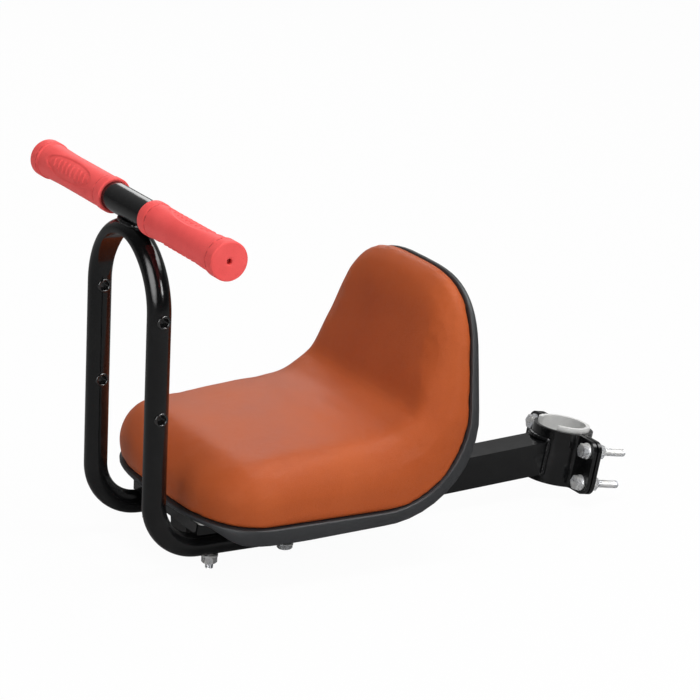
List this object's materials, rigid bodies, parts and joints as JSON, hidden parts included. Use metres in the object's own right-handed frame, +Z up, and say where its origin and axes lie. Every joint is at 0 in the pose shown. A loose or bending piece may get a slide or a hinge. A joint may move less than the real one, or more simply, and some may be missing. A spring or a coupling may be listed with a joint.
{
  "type": "child bike seat",
  "caption": "Front child seat for a bicycle: L-shaped leather pad on a moulded shell, square beam with a two-piece post clamp, and a tube hoop with a short handlebar.",
  "frame": {"origin": "middle of the clamp's bore, on the axis of the post it holds", "axes": "+X to the left of the bike, +Y to the rear, +Z up with the seat level; the part faces -Y"},
  "size_m": [0.294, 0.4184, 0.2725],
  "materials": {
    "pad_leather": "smooth orange-brown leather, slight sheen",
    "shell_plastic": "moulded black plastic, fine grain, satin",
    "black_paint": "gloss black powder coat",
    "zinc": "bright zinc plate",
    "pale_rubber": "pale grey rubber, matt",
    "grip_rubber": "red moulded rubber, matt",
    "black_plastic": "black plastic, matt"
  },
  "bodies": {
    "root": {"seat_pad": "pad_leather", "seat_shell": "shell_plastic", "main_beam": "black_paint", "beam_weld": "black_paint", "clamp_front": "black_paint", "clamp_rear": "black_paint", "guard_hoop": "black_paint", "hoop_bushes": "black_paint", "handlebar": "black_paint", "bar_weld": "black_paint", "front_crossbar": "black_paint", "rear_crossbar": "black_paint", "clamp_bolts": "zinc", "clamp_washers": "zinc", "clamp_nuts": "zinc", "seat_bolts": "zinc", "seat_washers": "zinc", "seat_nuts": "zinc", "post_liner": "pale_rubber", "packing_strip": "pale_rubber", "rear_packing": "pale_rubber", "left_grip": "grip_rubber", "right_grip": "grip_rubber", "beam_plug": "black_plastic", "leg_plugs": "black_plastic", "leg_spacers": "black_plastic"}
  },
  "joints": []
}
